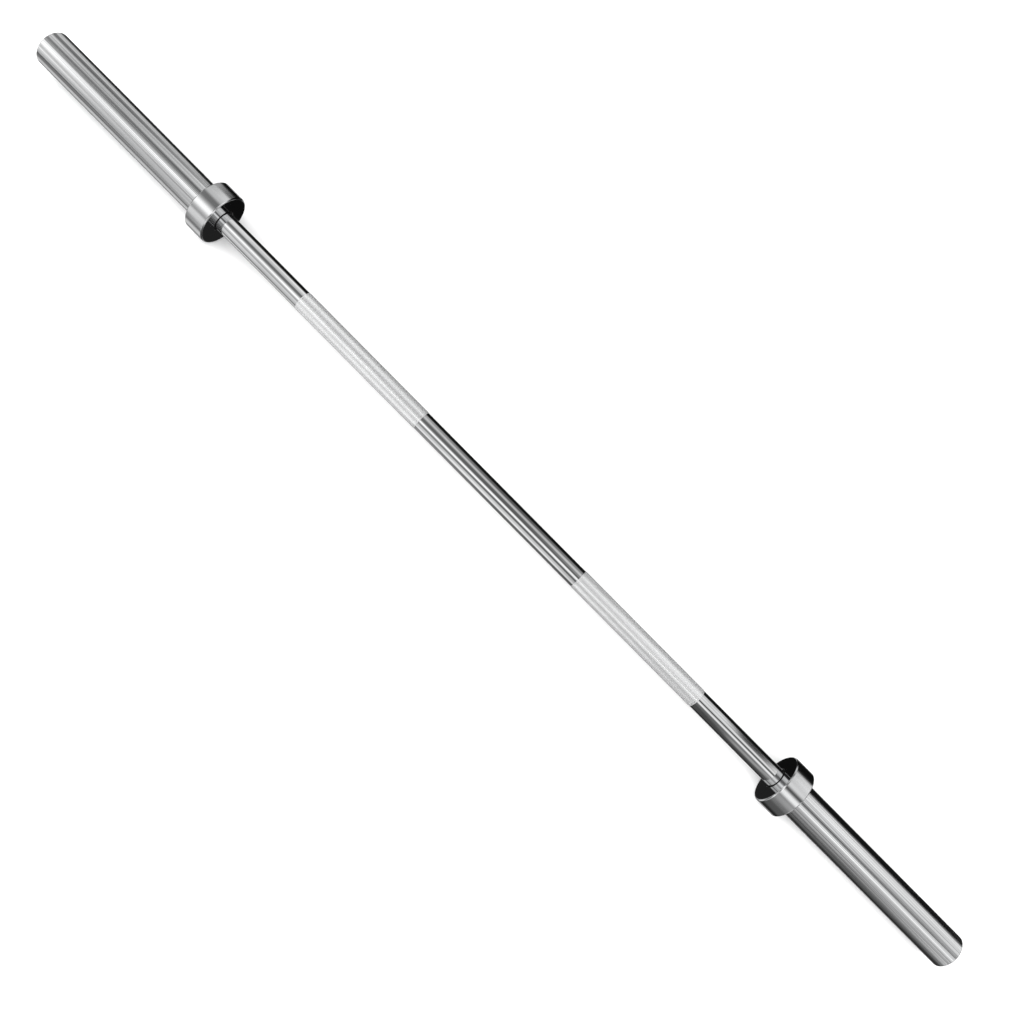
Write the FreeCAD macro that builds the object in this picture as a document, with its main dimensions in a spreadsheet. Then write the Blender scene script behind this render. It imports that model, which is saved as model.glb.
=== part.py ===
import FreeCAD, Part
import os
import Sketcher

# A short olympic barbell, in millimetres. X runs along the bar, Z is up, and the origin is the middle
# of the shaft. The pieces at each end are drawn in a frame of that end: its origin is on the axis, in
# the plane of the collar's inner face, and its X points outwards along the sleeve.

SIZES = {
    # the shaft, as it shows between the collars
    "grip_length": 1034.0,         # from one collar's inner face to the other's
    "shaft_diameter": 28.0,
    "knurl_gap": 293.0,            # the plain stretch in the middle of the shaft
    "knurl_length": 222.0,
    "knurl_rise": 0.4,             # how far the knurl stands above the plain shaft
    "knurl_ramp": 1.0,             # length of the bevel at each end of a knurl
    # the collar
    "collar_diameter": 76.0,
    "collar_width": 31.0,
    "collar_wall": 14.0,           # the ring round its seat on the sleeve
    "collar_web": 5.0,             # the wall that closes over the end of the sleeve
    "collar_chamfer": 1.5,
    # the sleeve
    "sleeve_diameter": 50.0,
    "load_length": 290.0,          # from the collar's outer face to the end of the sleeve
    "sleeve_chamfer": 1.5,
    "seat_cone": 3.0,              # length of the cone that leads from the collar's seat to the sleeve
    # the dust seal
    "seal_gap": 0.3,
    "seal_width": 1.9,
    "seal_recess": 0.6,
    "seal_lip": 0.7,               # bevel on the edge beside the shaft
    # the bearings
    "shoulder_step": 1.5,          # the journal lies this much under the shaft's surface
    "running_gap": 0.06,           # between journal and bushing, all round
    "end_float": 0.3,              # play of the sleeve along the shaft
    "bushing_wall": 2.5,
    "bushing_length": 28.0,        # without its flange
    "flange_step": 1.5,            # how far the flange stands out from the bushing
    "flange_thickness": 3.0,
    "oil_groove_width": 3.0,
    "oil_groove_depth": 0.8,
    "washer_thickness": 1.5,
    "washer_gap": 0.3,
    # the snap ring on the shaft
    "ring_thickness": 1.6,
    "ring_width": 2.4,
    "ring_depth": 0.9,             # how deep it sits in the shaft
    "ring_opening": 6.0,
    "ring_eye_diameter": 4.0,
    "ring_hole_diameter": 1.8,
    "ring_play": 0.1,              # room along the shaft in its groove
    "eye_clearance": 0.4,          # from its eyes to the sleeve
    "end_land": 4.0,               # the shaft outside its groove
    "shaft_chamfer": 1.0,
    # the end cap and its circlip
    "cap_seat": 1.5,               # the step in the sleeve that the cap rests on
    "cap_thickness": 4.0,
    "cap_gap": 0.1,
    "cap_clearance": 1.0,          # from the cap to the end of the shaft
    "cap_rim": 7.0,                # the flat round the cap's dish
    "dish_depth": 1.0,
    "cap_chamfer": 0.5,
    "end_recess": 3.0,             # from the end of the sleeve to the circlip
    "clip_thickness": 1.6,
    "clip_width": 2.6,
    "clip_depth": 1.0,             # how deep it sits in the sleeve
    "clip_opening": 9.0,
    "clip_eye_diameter": 4.4,
    "clip_hole_diameter": 2.0,
    # how far a cut runs past what it cuts
    "overrun": 1.0,
}

FULL_TURN = 360.0
HALF_TURN = 180.0
EYE_INSET_SHARE = 0.25             # of an eye's width, from the ring's opening to the eye's centre
X_AXIS_IN_SKETCH = "H_Axis"
SAME_PLACE = 1e-4
CUBIC_MM_PER_CM = 1000.0


# Radii, from the axis outwards
SHAFT = "(Sizes.shaft_diameter / 2)"
KNURL = f"({SHAFT} + Sizes.knurl_rise)"
JOURNAL = f"({SHAFT} - Sizes.shoulder_step)"
RING_INSIDE = f"({JOURNAL} - Sizes.ring_depth)"
BUSHING_BORE = f"({JOURNAL} + Sizes.running_gap)"
SLEEVE_BORE = f"({BUSHING_BORE} + Sizes.bushing_wall)"
COUNTERBORE = f"({SLEEVE_BORE} + Sizes.flange_step)"
CAP_BORE = f"({COUNTERBORE} + Sizes.cap_seat)"
CLIP_OUTSIDE = f"({CAP_BORE} + Sizes.clip_depth)"
SLEEVE = "(Sizes.sleeve_diameter / 2)"
COLLAR = "(Sizes.collar_diameter / 2)"
COLLAR_SEAT = f"({COLLAR} - Sizes.collar_wall)"
SEAL_BORE = f"({SHAFT} + Sizes.seal_gap)"
WEB_BORE = f"({SEAL_BORE} + Sizes.seal_width)"

# Places along one end of the bar, from the collar's inner face to the end of the sleeve
SHOULDER = "(Sizes.collar_web + Sizes.end_float)"
INNER_FLANGE = f"({SHOULDER} + Sizes.washer_thickness + Sizes.end_float)"
INNER_SEAT = f"({INNER_FLANGE} + Sizes.flange_thickness)"
COLLAR_CONE = "(Sizes.collar_width - Sizes.seat_cone)"
SLEEVE_END = "(Sizes.collar_width + Sizes.load_length)"
CLIP_PLACE = f"({SLEEVE_END} - Sizes.end_recess - Sizes.clip_thickness)"
CAP_PLACE = f"({CLIP_PLACE} - Sizes.cap_thickness)"
SHAFT_END = f"({CAP_PLACE} - Sizes.cap_clearance)"
RING_PLACE = f"({SHAFT_END} - Sizes.end_land - Sizes.ring_thickness)"
OUTER_WASHER = f"({RING_PLACE} - Sizes.washer_thickness)"
OUTER_FLANGE = f"({OUTER_WASHER} - Sizes.end_float)"
OUTER_SEAT = f"({OUTER_FLANGE} - Sizes.flange_thickness)"

doc = FreeCAD.newDocument("olympic_barbell")
sheet = doc.addObject("Spreadsheet::Sheet", "Sizes")


def fill_sheet():
    for row, (name, value) in enumerate(SIZES.items(), start=1):
        sheet.set(f"A{row}", name)
        sheet.set(f"B{row}", str(value))
        sheet.setAlias(f"B{row}", name)
    doc.recompute()


def number(expression):
    return float(sheet.evalExpression(expression))


# Drawing in a body

def new_body(name):
    body = doc.addObject("PartDesign::Body", name)
    body.Label = name
    return body


def end_body(side, name):
    # the left end is the right one turned about Z
    body = new_body(f"{side}_{name}")
    place = "Sizes.grip_length / 2"
    if side == "left":
        body.Placement.Rotation = FreeCAD.Rotation(FreeCAD.Vector(0, 0, 1), HALF_TURN)
        place = f"-{place}"
    body.setExpression("Placement.Base.x", place)
    return body


def new_sketch(body, name, role, offset=None):
    sketch = body.newObject("Sketcher::SketchObject", name)
    plane = next(item for item in body.Origin.OriginFeatures if item.Role == role)
    sketch.AttachmentSupport = [(plane, "")]
    sketch.MapMode = "FlatFace"
    if offset:
        sketch.setExpression("AttachmentOffset.Base.z", offset)
    return sketch


def tie(sketch, kind, place, expression):
    # a dimension of the sketch that follows the sheet
    index = sketch.addConstraint(Sketcher.Constraint(kind, *place, number(expression)))
    sketch.setExpression(f"Constraints[{index}]", expression)


def tie_point(sketch, item, point, across, up):
    # the origin of the sketch is point 1 of item -1, and its axes are items -1 and -2
    for kind, axis, value in (("DistanceX", -2, across), ("DistanceY", -1, up)):
        if value == "0":
            sketch.addConstraint(Sketcher.Constraint("PointOnObject", item, point, axis))
        else:
            tie(sketch, kind, (-1, 1, item, point), value)


def draw_outline(sketch, corners):
    points = [FreeCAD.Vector(number(across), number(up), 0) for across, up in corners]
    count = len(points)
    for index in range(count):
        sketch.addGeometry(Part.LineSegment(points[index], points[(index + 1) % count]), False)
    for index in range(count):
        sketch.addConstraint(Sketcher.Constraint("Coincident", index, 2, (index + 1) % count, 1))
    for index, (across, up) in enumerate(corners):
        tie_point(sketch, index, 1, across, up)


def draw_circle(sketch, radius, across="0", up="0"):
    centre = FreeCAD.Vector(number(across), number(up), 0)
    circle = Part.Circle(centre, FreeCAD.Vector(0, 0, 1), number(radius))
    item = sketch.addGeometry(circle, False)
    tie_point(sketch, item, 3, across, up)
    tie(sketch, "Radius", (item,), radius)


def rectangle(low_across, high_across, low_up, high_up):
    return [(low_across, low_up), (high_across, low_up), (high_across, high_up), (low_across, high_up)]


# Features of a body

def turn(body, kind, name, corners):
    # corners are (distance along X, distance from X)
    sketch = new_sketch(body, f"{name}_outline", "XY_Plane")
    draw_outline(sketch, corners)
    feature = body.newObject(f"PartDesign::{kind}", name)
    feature.Profile = sketch
    feature.ReferenceAxis = (sketch, [X_AXIS_IN_SKETCH])
    feature.Angle = FULL_TURN
    doc.recompute()
    return feature


def turn_solid(body, name, corners):
    return turn(body, "Revolution", name, corners)


def turn_groove(body, name, corners):
    before = body.Shape.Volume
    feature = turn(body, "Groove", name, corners)
    require_cut(body, name, before)
    return feature


def pad(body, name, start, length, draw):
    # the sketch lies across X at start, and the pad runs outwards
    sketch = new_sketch(body, f"{name}_outline", "YZ_Plane", start)
    draw(sketch)
    feature = body.newObject("PartDesign::Pad", name)
    feature.Profile = sketch
    feature.setExpression("Length", length)
    doc.recompute()
    return feature


def pocket(body, name, start, length, draw):
    # the sketch lies across X at start, and the cut runs inwards
    before = body.Shape.Volume
    sketch = new_sketch(body, f"{name}_outline", "YZ_Plane", start)
    draw(sketch)
    feature = body.newObject("PartDesign::Pocket", name)
    feature.Profile = sketch
    feature.Reversed = False
    feature.setExpression("Length", length)
    doc.recompute()
    require_cut(body, name, before)
    return feature


def require_cut(body, name, before):
    if not body.Shape.Volume < before:
        raise RuntimeError(f"{name} cuts nothing from {body.Label}")


def ring_edges(feature, radius, places):
    # the round edges of that radius about X, at those distances along X
    wanted = [number(place) for place in places]
    names = []
    for index, edge in enumerate(feature.Shape.Edges, start=1):
        if not isinstance(edge.Curve, Part.Circle):
            continue
        same_radius = abs(edge.Curve.Radius - number(radius)) < SAME_PLACE
        if same_radius and any(abs(edge.Curve.Center.x - place) < SAME_PLACE for place in wanted):
            names.append(f"Edge{index}")
    return names


def bevel(body, name, base, radius, places, size):
    feature = body.newObject("PartDesign::Chamfer", name)
    feature.Base = (base, ring_edges(base, radius, places))
    feature.setExpression("Size", size)
    doc.recompute()
    return feature


# The shaft

def knurl_corners():
    start = "Sizes.knurl_gap / 2"
    stop = f"({start} + Sizes.knurl_length)"
    return [
        (start, SHAFT),
        (f"{start} + Sizes.knurl_ramp", KNURL),
        (f"{stop} - Sizes.knurl_ramp", KNURL),
        (stop, SHAFT),
    ]


def make_shaft():
    body = new_body("shaft")
    face = "Sizes.grip_length / 2"
    shoulder = f"{face} + {SHOULDER}"
    end = f"{face} + {SHAFT_END}"
    ring = f"{face} + {RING_PLACE}"
    half = turn_solid(body, "half_shaft", [
        ("0", "0"),
        ("0", SHAFT),
        *knurl_corners(),
        (shoulder, SHAFT),
        (shoulder, JOURNAL),
        (end, JOURNAL),
        (end, "0"),
    ])
    groove = turn_groove(body, "ring_groove", rectangle(
        ring, f"{ring} + Sizes.ring_thickness + Sizes.ring_play",
        RING_INSIDE, f"{JOURNAL} + Sizes.overrun",
    ))
    whole = body.newObject("PartDesign::Mirrored", "both_halves")
    whole.Originals = [half, groove]
    whole.MirrorPlane = (next(item for item in body.Origin.OriginFeatures if item.Role == "YZ_Plane"), [""])
    body.Tip = whole
    doc.recompute()
    bevel(body, "end_bevels", whole, JOURNAL, [end, f"-({end})"], "Sizes.shaft_chamfer")
    return body


# The pieces that turn with a sleeve

def make_sleeve(side):
    body = end_body(side, "sleeve")
    turn_solid(body, "tube", [
        ("Sizes.collar_web", COUNTERBORE),
        (INNER_SEAT, COUNTERBORE),
        (INNER_SEAT, SLEEVE_BORE),
        (OUTER_SEAT, SLEEVE_BORE),
        (OUTER_SEAT, COUNTERBORE),
        (CAP_PLACE, COUNTERBORE),
        (CAP_PLACE, CAP_BORE),
        (SLEEVE_END, CAP_BORE),
        (SLEEVE_END, SLEEVE),
        ("Sizes.collar_width", SLEEVE),
        (COLLAR_CONE, COLLAR_SEAT),
        ("Sizes.collar_web", COLLAR_SEAT),
    ])
    groove = turn_groove(body, "clip_groove", rectangle(
        CLIP_PLACE, f"{CLIP_PLACE} + Sizes.clip_thickness + Sizes.ring_play",
        f"{CAP_BORE} - Sizes.overrun", CLIP_OUTSIDE,
    ))
    outside = bevel(body, "end_bevel", groove, SLEEVE, [SLEEVE_END], "Sizes.sleeve_chamfer")
    bevel(body, "mouth_bevel", outside, CAP_BORE, [SLEEVE_END], "Sizes.cap_chamfer")
    return body


def make_collar(side):
    body = end_body(side, "collar")
    ring = turn_solid(body, "ring", [
        ("0", WEB_BORE),
        ("Sizes.collar_web", WEB_BORE),
        ("Sizes.collar_web", COLLAR_SEAT),
        (COLLAR_CONE, COLLAR_SEAT),
        ("Sizes.collar_width", SLEEVE),
        ("Sizes.collar_width", COLLAR),
        ("0", COLLAR),
    ])
    bevel(body, "rim_bevels", ring, COLLAR, ["0", "Sizes.collar_width"], "Sizes.collar_chamfer")
    return body


def make_dust_seal(side):
    body = end_body(side, "dust_seal")
    turn_solid(body, "seal", [
        ("Sizes.seal_recess", WEB_BORE),
        ("Sizes.seal_recess", f"{SEAL_BORE} + Sizes.seal_lip"),
        ("Sizes.seal_recess + Sizes.seal_lip", SEAL_BORE),
        ("Sizes.collar_web", SEAL_BORE),
        ("Sizes.collar_web", WEB_BORE),
    ])
    return body


def make_bushing(side, name, flange_face, flange_seat, barrel_end):
    body = end_body(side, name)
    turn_solid(body, "bushing", [
        (flange_face, BUSHING_BORE),
        (flange_face, COUNTERBORE),
        (flange_seat, COUNTERBORE),
        (flange_seat, SLEEVE_BORE),
        (barrel_end, SLEEVE_BORE),
        (barrel_end, BUSHING_BORE),
    ])
    middle = f"({flange_seat} + {barrel_end}) / 2"
    turn_groove(body, "oil_groove", rectangle(
        f"{middle} - Sizes.oil_groove_width / 2", f"{middle} + Sizes.oil_groove_width / 2",
        f"{BUSHING_BORE} - Sizes.overrun", f"{BUSHING_BORE} + Sizes.oil_groove_depth",
    ))
    return body


def make_inner_bushing(side):
    return make_bushing(
        side, "inner_bushing", INNER_FLANGE, INNER_SEAT, f"({INNER_SEAT} + Sizes.bushing_length)"
    )


def make_outer_bushing(side):
    return make_bushing(
        side, "outer_bushing", OUTER_FLANGE, OUTER_SEAT, f"({OUTER_SEAT} - Sizes.bushing_length)"
    )


def make_end_cap(side):
    body = end_body(side, "end_cap")
    outside = f"({CAP_BORE} - Sizes.cap_gap)"
    dish = f"({CAP_BORE} - Sizes.cap_rim)"
    face = CLIP_PLACE
    disc = turn_solid(body, "disc", [
        (CAP_PLACE, "0"),
        (CAP_PLACE, outside),
        (face, outside),
        (face, dish),
        (f"{face} - Sizes.dish_depth", dish),
        (f"{face} - Sizes.dish_depth", "0"),
    ])
    rim = bevel(body, "rim_bevel", disc, outside, [face], "Sizes.cap_chamfer")
    bevel(body, "dish_bevel", rim, dish, [face], "Sizes.cap_chamfer")
    return body


# The two spring rings, each open at the top with an eye on both sides of the opening

def make_spring_ring(side, name, start, thickness, inside, outside, opening, eye, eye_place, hole):
    body = end_body(side, name)
    end = f"{start} + {thickness}"
    half_open = f"({opening} / 2)"
    eye_across = f"({half_open} + {eye} * {EYE_INSET_SHARE})"
    eye_up = f"sqrt({eye_place} ^ 2 - {eye_across} ^ 2)"

    def draw_band(sketch):
        draw_circle(sketch, outside)
        draw_circle(sketch, inside)

    def draw_opening(sketch):
        top = f"({outside} + {eye})"
        draw_outline(sketch, rectangle(f"-{half_open}", half_open, "0", top))

    def draw_round(across, diameter):
        return lambda sketch: draw_circle(sketch, f"{diameter} / 2", across, eye_up)

    pad(body, "band", start, thickness, draw_band)
    sides = {"near": f"-{eye_across}", "far": eye_across}
    for word, across in sides.items():
        pad(body, f"{word}_eye", start, thickness, draw_round(across, eye))
    pocket(body, "opening", end, thickness, draw_opening)
    for word, across in sides.items():
        pocket(body, f"{word}_hole", end, thickness, draw_round(across, hole))
    return body


def make_cap_circlip(side):
    inside = f"({CLIP_OUTSIDE} - Sizes.clip_width)"
    return make_spring_ring(
        side, "cap_circlip", CLIP_PLACE, "Sizes.clip_thickness",
        inside, CLIP_OUTSIDE, "Sizes.clip_opening",
        "Sizes.clip_eye_diameter", inside, "Sizes.clip_hole_diameter",
    )


# The pieces that stay with the shaft

def make_snap_ring(side):
    eye_place = f"({COUNTERBORE} - Sizes.eye_clearance - Sizes.ring_eye_diameter / 2)"
    return make_spring_ring(
        side, "snap_ring", RING_PLACE, "Sizes.ring_thickness",
        RING_INSIDE, f"({RING_INSIDE} + Sizes.ring_width)", "Sizes.ring_opening",
        "Sizes.ring_eye_diameter", eye_place, "Sizes.ring_hole_diameter",
    )


def make_washer(side, name, start):
    body = end_body(side, name)

    def draw(sketch):
        draw_circle(sketch, f"{COUNTERBORE} - Sizes.washer_gap")
        draw_circle(sketch, f"{JOURNAL} + Sizes.washer_gap")

    pad(body, "washer", start, "Sizes.washer_thickness", draw)
    return body


def make_inner_thrust_washer(side):
    return make_washer(side, "inner_thrust_washer", SHOULDER)


def make_outer_thrust_washer(side):
    return make_washer(side, "outer_thrust_washer", OUTER_WASHER)


END_PIECES = (
    make_collar,
    make_dust_seal,
    make_inner_thrust_washer,
    make_inner_bushing,
    make_sleeve,
    make_outer_bushing,
    make_outer_thrust_washer,
    make_snap_ring,
    make_end_cap,
    make_cap_circlip,
)


def check_model(bodies):
    for item in doc.Objects:
        if "Invalid" in item.State or "Error" in item.State:
            raise RuntimeError(f"{item.Label} failed: {item.State}")
    for body in bodies:
        shape = body.Shape
        if shape.isNull() or not shape.isValid() or len(shape.Solids) != 1:
            raise RuntimeError(f"{body.Label} is not one good solid")


def write_steps(bodies):
    os.makedirs("parts", exist_ok=True)
    for body in bodies:
        body.Shape.exportStep(os.path.join("parts", f"{body.Label}.step"))
        box = body.Shape.BoundBox
        print(f"{body.Label}: {box.XLength:.2f} x {box.YLength:.2f} x {box.ZLength:.2f} mm, "
              f"{body.Shape.Volume / CUBIC_MM_PER_CM:.2f} cm3")


fill_sheet()
bodies = [make_shaft()]
for side in ("left", "right"):
    for make in END_PIECES:
        bodies.append(make(side))
doc.recompute()
check_model(bodies)
write_steps(bodies)
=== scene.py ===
# %% [markdown]
# # A short olympic barbell
# The bar is a chromed steel shaft with two knurled grips. At each end a thick loading
# sleeve turns freely on hidden bushings, and a wide collar stops the weight plates.
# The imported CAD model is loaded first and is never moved: every piece made below sits in
# the same frame, in metres, with X along the bar and Z up.

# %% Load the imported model
import math

import bmesh
import bpy
from mathutils import Euler, Matrix, Vector


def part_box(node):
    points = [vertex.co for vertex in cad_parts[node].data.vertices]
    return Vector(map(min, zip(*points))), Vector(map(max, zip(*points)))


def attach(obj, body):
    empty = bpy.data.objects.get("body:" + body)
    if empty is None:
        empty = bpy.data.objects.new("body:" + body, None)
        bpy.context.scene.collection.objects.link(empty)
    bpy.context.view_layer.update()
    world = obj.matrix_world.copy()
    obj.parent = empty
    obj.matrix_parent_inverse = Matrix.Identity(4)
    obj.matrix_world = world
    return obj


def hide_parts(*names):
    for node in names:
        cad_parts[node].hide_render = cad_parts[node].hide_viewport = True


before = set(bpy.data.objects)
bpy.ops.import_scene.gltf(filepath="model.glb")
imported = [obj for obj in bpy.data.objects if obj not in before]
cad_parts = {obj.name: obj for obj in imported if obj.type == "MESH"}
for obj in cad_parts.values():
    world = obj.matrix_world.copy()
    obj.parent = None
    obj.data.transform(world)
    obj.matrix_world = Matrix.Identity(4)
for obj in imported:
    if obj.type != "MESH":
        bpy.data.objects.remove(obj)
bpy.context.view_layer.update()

# %% [markdown]
# ## Sizes
# Most sizes are read from the boxes of the CAD nodes, so a change in the CAD model comes
# through by itself. The few that no box shows are named: the plain shaft and the knurled
# bands here, and the bores and the small roundings that every real edge has with their own
# pieces. The right end is measured, and the left end is its mirror image.

# %% Measure the right end
MM = 0.001
SIDES = {"left": -1, "right": 1}


def reach(node):
    """Where a node of the right end starts and stops along X, and its radius."""
    low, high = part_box("right_" + node)
    return low.x, high.x, high.z


COLLAR_FACE, COLLAR_BACK, COLLAR_RADIUS = reach("collar")
SLEEVE_START, SLEEVE_END, SLEEVE_RADIUS = reach("sleeve")
SEAL_START, SEAL_STOP, SEAL_RADIUS = reach("dust_seal")
CAP_START, CAP_STOP, CAP_RADIUS = reach("end_cap")
CLIP_START, CLIP_STOP, CLIP_RADIUS = reach("cap_circlip")
RING_START, RING_STOP = reach("snap_ring")[:2]
INNER_FLANGE = reach("inner_bushing")[0]
OUTER_FLANGE, COUNTERBORE = reach("outer_bushing")[1:]
SHOULDER = reach("inner_thrust_washer")[0]
SHAFT_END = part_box("shaft")[1].x
KNURL_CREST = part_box("shaft")[1].z

SHAFT_RADIUS = 14.0 * MM
KNURL_START = 146.5 * MM
KNURL_LENGTH = 222.0 * MM
KNURL_STOP = KNURL_START + KNURL_LENGTH
print("collar from", COLLAR_FACE, "to", COLLAR_BACK, "sleeve to", SLEEVE_END)

# %% [markdown]
# ## Camera
# The photograph looks down on the bar from less than its own length away, and the picture
# is rolled so that the bar runs from the upper left to the lower right corner. The camera
# could be placed by eye, but a few values say it exactly: how many pixels a metre of the
# bar takes, how wide the camera sees, how high it stands, how far it is rolled about its
# own line of sight, and a small step to the side.

# %% Place the camera
PICTURE = 1024
PIXELS_PER_METRE = 758.5
FOCAL_PIXELS = 912.0
CAMERA_HEIGHT_ANGLE = math.radians(55.0)
CAMERA_ROLL = math.radians(45.25)
CAMERA_SIDE_STEP = 23.0 * MM
# Blender counts a camera's sensor and lens in millimetres
SENSOR_WIDTH = 36.0

camera_data = bpy.data.cameras.new("photo_camera")
camera_data.sensor_width = SENSOR_WIDTH
camera_data.lens = SENSOR_WIDTH * FOCAL_PIXELS / PICTURE
camera = bpy.data.objects.new("photo_camera", camera_data)
bpy.context.scene.collection.objects.link(camera)
bpy.context.scene.camera = camera

camera_distance = FOCAL_PIXELS / PIXELS_PER_METRE
to_camera = Vector((0.0, -math.cos(CAMERA_HEIGHT_ANGLE), math.sin(CAMERA_HEIGHT_ANGLE)))
above_bar = Vector((0.0, math.sin(CAMERA_HEIGHT_ANGLE), math.cos(CAMERA_HEIGHT_ANGLE)))
camera.location = Vector((CAMERA_SIDE_STEP, 0.0, 0.0)) + to_camera * camera_distance
tilt = Euler((math.pi / 2 - CAMERA_HEIGHT_ANGLE, 0.0, 0.0)).to_matrix()
camera.rotation_euler = (tilt @ Matrix.Rotation(CAMERA_ROLL, 3, "Z")).to_euler()
print("camera", tuple(camera.location), "lens", camera_data.lens)

# %% [markdown]
# ## Shader sums
# Node trees grow long when every sum is made by hand, so one small class wraps an output
# socket and overloads the operators: an expression such as 1 - mask * 0.5 then adds
# its own Math nodes. A second class holds a node tree and makes any other node from its
# type, its settings and the values or links of its sockets.

# %% Wrap sockets and node trees


class Signal:
    """An output socket that can be used in sums."""

    def __init__(self, graph, socket):
        self.graph = graph
        self.socket = socket

    def __add__(self, other):
        return self.graph.maths("ADD", self, other)

    def __sub__(self, other):
        return self.graph.maths("SUBTRACT", self, other)

    def __rsub__(self, other):
        return self.graph.maths("SUBTRACT", other, self)

    def __mul__(self, other):
        return self.graph.maths("MULTIPLY", self, other)

    def __abs__(self):
        return self.graph.maths("ABSOLUTE", self)

    __radd__ = __add__
    __rmul__ = __mul__


class Graph:
    """A node tree, and the one way in which nodes are added to it."""

    def __init__(self, tree):
        self.tree = tree
        tree.nodes.clear()

    def add(self, kind, settings=None, inputs=None, output=0):
        node = self.tree.nodes.new(kind)
        for name, value in (settings or {}).items():
            setattr(node, name, value)
        for name, value in (inputs or {}).items():
            if isinstance(value, Signal):
                self.tree.links.new(value.socket, node.inputs[name])
            else:
                node.inputs[name].default_value = value
        return Signal(self, node.outputs[output]) if node.outputs else None

    def maths(self, operation, *terms):
        """A Math node whose terms are numbers or signals."""
        return self.add("ShaderNodeMath", {"operation": operation}, dict(enumerate(terms)))

    def step(self, value, start, stop):
        """Rises smoothly from 0 to 1 while a value goes from start to stop."""
        limits = {"Value": value, "From Min": start, "From Max": stop}
        return self.add("ShaderNodeMapRange", {"interpolation_type": "SMOOTHSTEP"}, limits)

    def share(self, vector, direction):
        """How far a vector reaches along a direction."""
        terms = {0: vector, 1: direction}
        return self.add("ShaderNodeVectorMath", {"operation": "DOT_PRODUCT"}, terms, "Value")

    def blend(self, mask, low, high):
        """A colour that goes from low to high with a mask."""
        # a Mix node has sockets for every kind of data, and these numbers are its colours
        colours = {0: mask, 6: low, 7: high}
        return self.add("ShaderNodeMix", {"data_type": "RGBA"}, colours, 2)


print("shader sums ready")

# %% [markdown]
# ## Floor
# The bar lies on a plain pale floor, touching it with both collars. A backdrop that curves
# up behind it could be built, but a single large sheet under a broad lamp goes almost white
# too and keeps only a soft shadow. Polished chrome would mirror the whole floor, which the
# photograph does not show, so the floor is kept out of reflections. Its faint mottling
# stops it from looking like paper.

# %% Lay the floor
FLOOR_REACH = 30.0
FLOOR_GREY = (0.9, 0.9, 0.9, 1.0)
MOTTLE_SHARE = 0.02

floor_maker = bmesh.new()
bmesh.ops.create_grid(floor_maker, x_segments=1, y_segments=1, size=FLOOR_REACH)
bmesh.ops.translate(floor_maker, vec=(0.0, 0.0, -COLLAR_RADIUS), verts=floor_maker.verts)
floor_mesh = bpy.data.meshes.new("floor")
floor_maker.to_mesh(floor_mesh)
floor_maker.free()
floor = bpy.data.objects.new("floor", floor_mesh)
bpy.context.scene.collection.objects.link(floor)
floor.visible_glossy = False


def pale_floor():
    material = bpy.data.materials.new("pale_floor")
    material.use_nodes = True
    graph = Graph(material.node_tree)
    place = graph.add("ShaderNodeTexCoord", output="Object")
    coarse = {"Vector": place, "Scale": 2.0, "Detail": 3.0}
    mottle = graph.add("ShaderNodeTexNoise", None, coarse, "Color")
    tone = graph.blend(MOTTLE_SHARE, FLOOR_GREY, mottle)
    matt = {"Base Color": tone, "Roughness": 0.9, "Specular IOR Level": 0.1}
    surface = graph.add("ShaderNodeBsdfPrincipled", None, matt)
    graph.add("ShaderNodeOutputMaterial", None, {"Surface": surface})
    return material


floor_mesh.materials.append(pale_floor())
print("floor at", -COLLAR_RADIUS)

# %% [markdown]
# ## Studio light
# A chrome bar shows nothing but its surroundings, so the room is designed as long soft
# light boxes that run beside the bar. Real emitting sheets would work, but a world shader
# gives the same bands without noise. A band is named by the angle at which it stands round
# the bar, counted from the camera upwards, and by eight strengths, one for each stretch of
# the bar that sees it, from left to right: the left sleeve's tip and its rest, the left of
# the shaft, its middle, its right, the shaft beside the right collar, where the boxes
# above leave a gap, the right sleeve and its tip. Past the bar's ends other boxes take
# over. Behind the bar the room is mostly dark, which draws the black edges and the black
# collar faces.

# %% Build the room of light boxes
LIGHT_BANDS = {
    # name: middle angle, half width, softness, and the strengths from left to right
    "eye_strip": (-15, 11, 8, (0.62, 0.78, 0.8, 1.2, 1.1, 1.1, 1.15, 1.1)),
    "left_window": (-15, 22, 10, (0.54, 0.54, 0.42, 0.0, 0.0, 0.0, 0.0, 0.0)),
    "near_top_box": (25, 11, 8, (0.0, 0.0, 0.0, 0.0, 0.95, 0.95, 0.85, 0.6)),
    "mid_top_box": (48, 11, 8, (0.42, 0.42, 0.55, 0.58, 0.95, 0.12, 0.9, 0.75)),
    "top_box": (72, 14, 8, (0.0, 0.16, 0.85, 0.0, 0.85, 0.0, 0.9, 0.9)),
    "high_box": (104, 13, 9, (0.7, 0.75, 0.0, 0.0, 0.0, 0.0, 0.0, 0.0)),
    "low_fill": (-42, 12, 14, (0.12, 0.1, 0.25, 0.0, 0.1, 0.2, 0.4, 0.42)),
    "low_box": (-64, 14, 8, (0.56, 0.7, 0.66, 0.72, 0.0, 0.3, 0.1, 0.3)),
    "low_outer_box": (-87, 10, 7, (0.0, 0.0, 0.45, 1.1, 0.0, 0.05, 0.0, 0.2)),
    "back_strip": (-130, 14, 9, (0.75, 0.75, 0.8, 0.15, 0.0, 0.0, 0.0, 0.0)),
    "room": (-13, 106, 9, (0.19, 0.24, 0.2, 0.14, 0.06, 0.05, 0.1, 0.1)),
    "rear_box": (161, 8, 4, (0.12, 0.12, 0.6, 0.6, 0.6, 0.6, 0.12, 0.12)),
    "rear_low_box": (-157, 8, 5, (0.4, 0.4, 0.4, 0.4, 0.4, 0.4, 0.4, 0.4)),
}
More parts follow.
